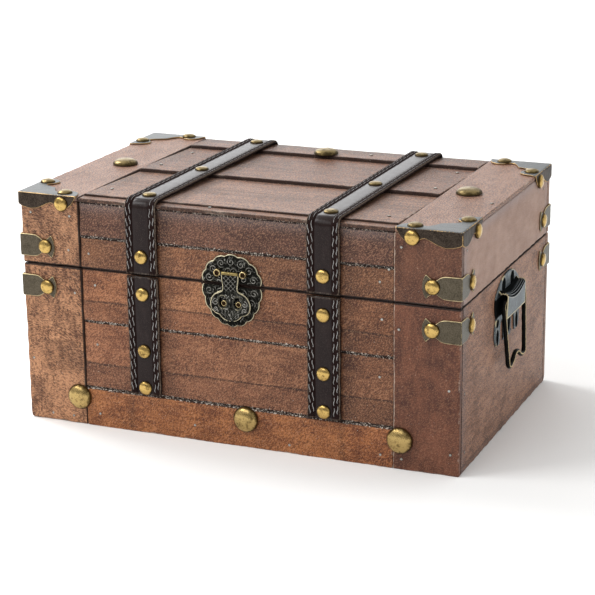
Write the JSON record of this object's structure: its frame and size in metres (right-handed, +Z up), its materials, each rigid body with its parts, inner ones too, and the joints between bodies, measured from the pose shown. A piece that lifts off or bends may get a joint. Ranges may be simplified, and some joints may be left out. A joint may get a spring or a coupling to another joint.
{
  "type": "storage trunk",
  "caption": "Small wooden storage trunk with a hinged lid, stitched leather straps, domed nails, corner brackets, a front latch and a drop handle on each side.",
  "frame": {"origin": "centre of the underside of the base, in the plane that the trunk stands on", "axes": "+X along the width, to the right of someone facing the latch; the front with the latch faces -Y; +Z up"},
  "size_m": [0.371, 0.236, 0.1865],
  "materials": {
    "red_wood": "satin varnish, red-brown",
    "orange_wood": "satin varnish, orange-brown",
    "tan_wood": "satin varnish, tan",
    "dark_wood": "satin varnish, burnished dark",
    "lid_wood": "satin varnish, pinkish brown",
    "side_wood": "satin varnish, grey-brown",
    "inner_wood": "plain stained wood",
    "leather": "dark brown, stitched",
    "brass": "antique brass, worn bright on top",
    "bronze": "antique bronze finish with worn edges",
    "dark_bronze": "dark antique bronze finish with worn edges",
    "gunmetal": "dark gunmetal finish with worn edges"
  },
  "bodies": {
    "base": {"base_front_wall": "inner_wood", "base_back_wall": "side_wood", "base_left_wall": "side_wood", "base_right_wall": "side_wood", "base_bottom_panel": "inner_wood", "front_bottom_rail": "orange_wood", "base_front_board_lower": "orange_wood", "base_front_board_upper": "red_wood", "base_front_board_left": "tan_wood", "base_front_board_right": "red_wood", "base_strap_front_left": "leather", "base_strap_front_right": "leather", "base_strap_back_left": "leather", "base_strap_back_right": "leather", "base_corner_clip_front_left": "bronze", "base_corner_clip_front_right": "bronze", "base_corner_clip_back_left": "bronze", "base_corner_clip_back_right": "bronze", "front_nail_left": "brass", "front_nail_middle": "brass", "front_nail_right": "brass", "latch_base_plate": "dark_bronze", "handle_plate_left": "gunmetal", "handle_plate_right": "gunmetal", "base_hinge_leaf_left": "bronze", "base_hinge_leaf_right": "bronze"},
    "lid": {"lid_front_wall": "inner_wood", "lid_back_wall": "side_wood", "lid_left_wall": "side_wood", "lid_right_wall": "side_wood", "lid_inner_panel": "inner_wood", "lid_front_board_lower": "orange_wood", "lid_front_board_upper": "dark_wood", "lid_front_board_left": "tan_wood", "lid_front_board_right": "red_wood", "lid_top_front_strip": "lid_wood", "lid_top_wide_board": "lid_wood", "lid_top_second_board": "lid_wood", "lid_top_back_rail": "lid_wood", "lid_top_end_board_left": "lid_wood", "lid_top_end_board_right": "lid_wood", "lid_strap_left": "leather", "lid_strap_right": "leather", "lid_nail_left": "brass", "lid_nail_back": "brass", "lid_nail_right": "brass", "lid_corner_bracket_front_left": "bronze", "lid_corner_bracket_front_right": "bronze", "lid_corner_bracket_back_left": "bronze", "lid_corner_bracket_back_right": "bronze", "lid_corner_clip_front_left": "bronze", "lid_corner_clip_front_right": "bronze", "lid_corner_clip_back_left": "bronze", "lid_corner_clip_back_right": "bronze", "latch_lid_plate": "dark_bronze", "lid_hinge_leaf_left": "bronze", "lid_hinge_leaf_right": "bronze"},
    "tongue": {"latch_tongue": "dark_bronze"},
    "bail_left": {"handle_bail_left": "gunmetal"},
    "bail_right": {"handle_bail_right": "gunmetal"}
  },
  "joints": [
    {"name": "lid_hinge", "type": "hinge", "parent": "base", "child": "lid", "pos_m": [0, 0.1154, 0.1255], "axis": [-1, 0, 0], "range_deg": [0, 105]},
    {"name": "tongue_hinge", "type": "hinge", "parent": "lid", "child": "tongue", "pos_m": [0, -0.1158, 0.1346], "axis": [-1, 0, 0], "range_deg": [0, 160]},
    {"name": "bail_left_hinge", "type": "hinge", "parent": "base", "child": "bail_left", "pos_m": [-0.1807, -0.002, 0.1067], "axis": [0, 1, 0], "range_deg": [0, 170]},
    {"name": "bail_right_hinge", "type": "hinge", "parent": "base", "child": "bail_right", "pos_m": [0.1807, -0.002, 0.1067], "axis": [0, -1, 0], "range_deg": [0, 170]}
  ]
}
